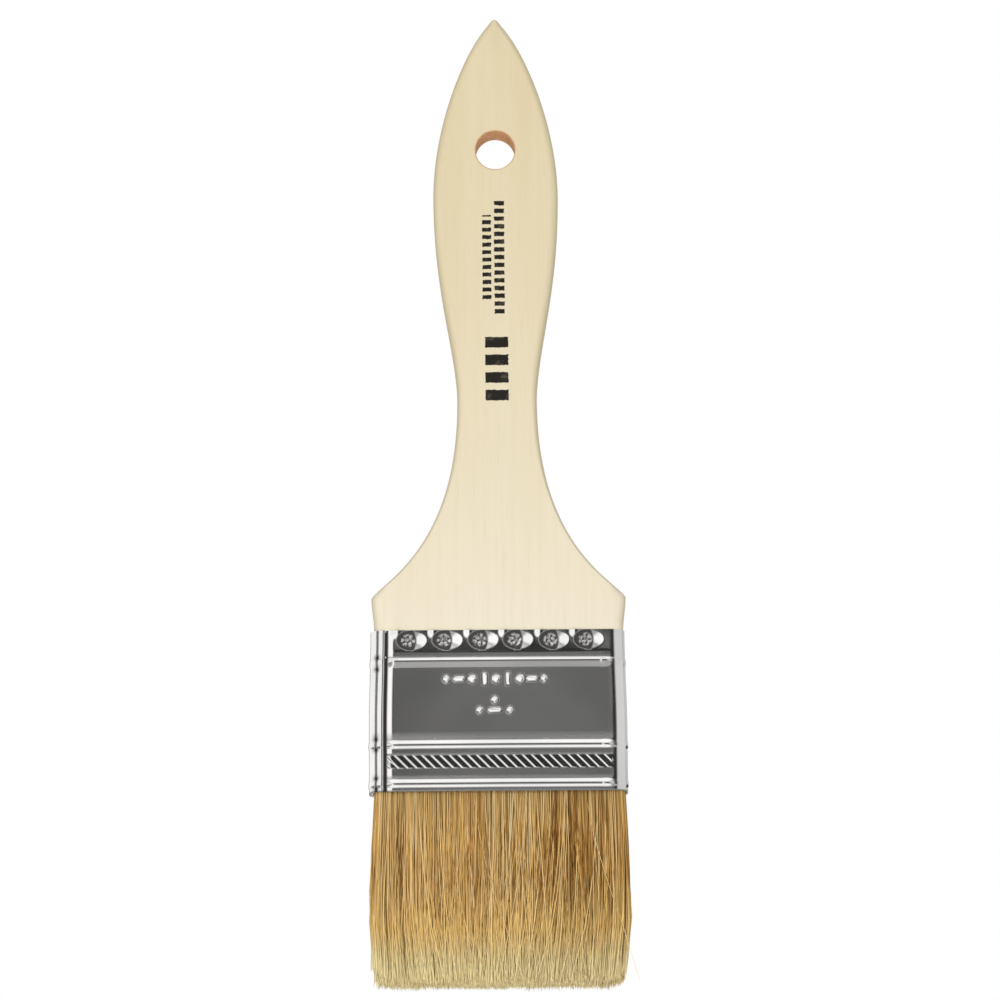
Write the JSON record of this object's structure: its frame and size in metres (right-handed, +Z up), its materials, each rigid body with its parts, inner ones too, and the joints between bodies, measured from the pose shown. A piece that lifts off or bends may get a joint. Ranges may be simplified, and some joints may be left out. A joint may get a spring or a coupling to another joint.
{
  "type": "flat paint brush",
  "caption": "Flat hand brush with a pointed wooden handle, a hang hole, a beaded steel ferrule and natural bristle that bends at the ferrule's mouth.",
  "frame": {"origin": "centre of the hang hole, in the middle of the handle's thickness", "axes": "+Z up the handle towards its tip, +X across the brush's width, -Y out of the front face"},
  "size_m": [0.0529, 0.01, 0.1982],
  "materials": {
    "wood": "pale unfinished hardwood with fine straight grain, sanded smooth",
    "tinplate": "bright tinned steel sheet with faint drawing lines",
    "resin": "set amber epoxy",
    "plug_wood": "rough sawn softwood",
    "bristle": "natural hog bristle, golden brown with pale split tips"
  },
  "bodies": {
    "handle_and_ferrule": {"handle": "wood", "ferrule": "tinplate", "resin_setting": "resin", "spacer_plug": "plug_wood", "bristle_roots_front": "bristle", "bristle_roots_back": "bristle"},
    "bristle_head": {"bristle_bank_front": "bristle", "bristle_bank_back": "bristle"}
  },
  "joints": [
    {"name": "bristle_flex", "type": "hinge", "parent": "handle_and_ferrule", "child": "bristle_head", "pos_m": [0, 0, -0.1322], "axis": [1, 0, 0], "range_deg": [-40, 40], "stiffness_Nm_per_rad": 0.12}
  ]
}
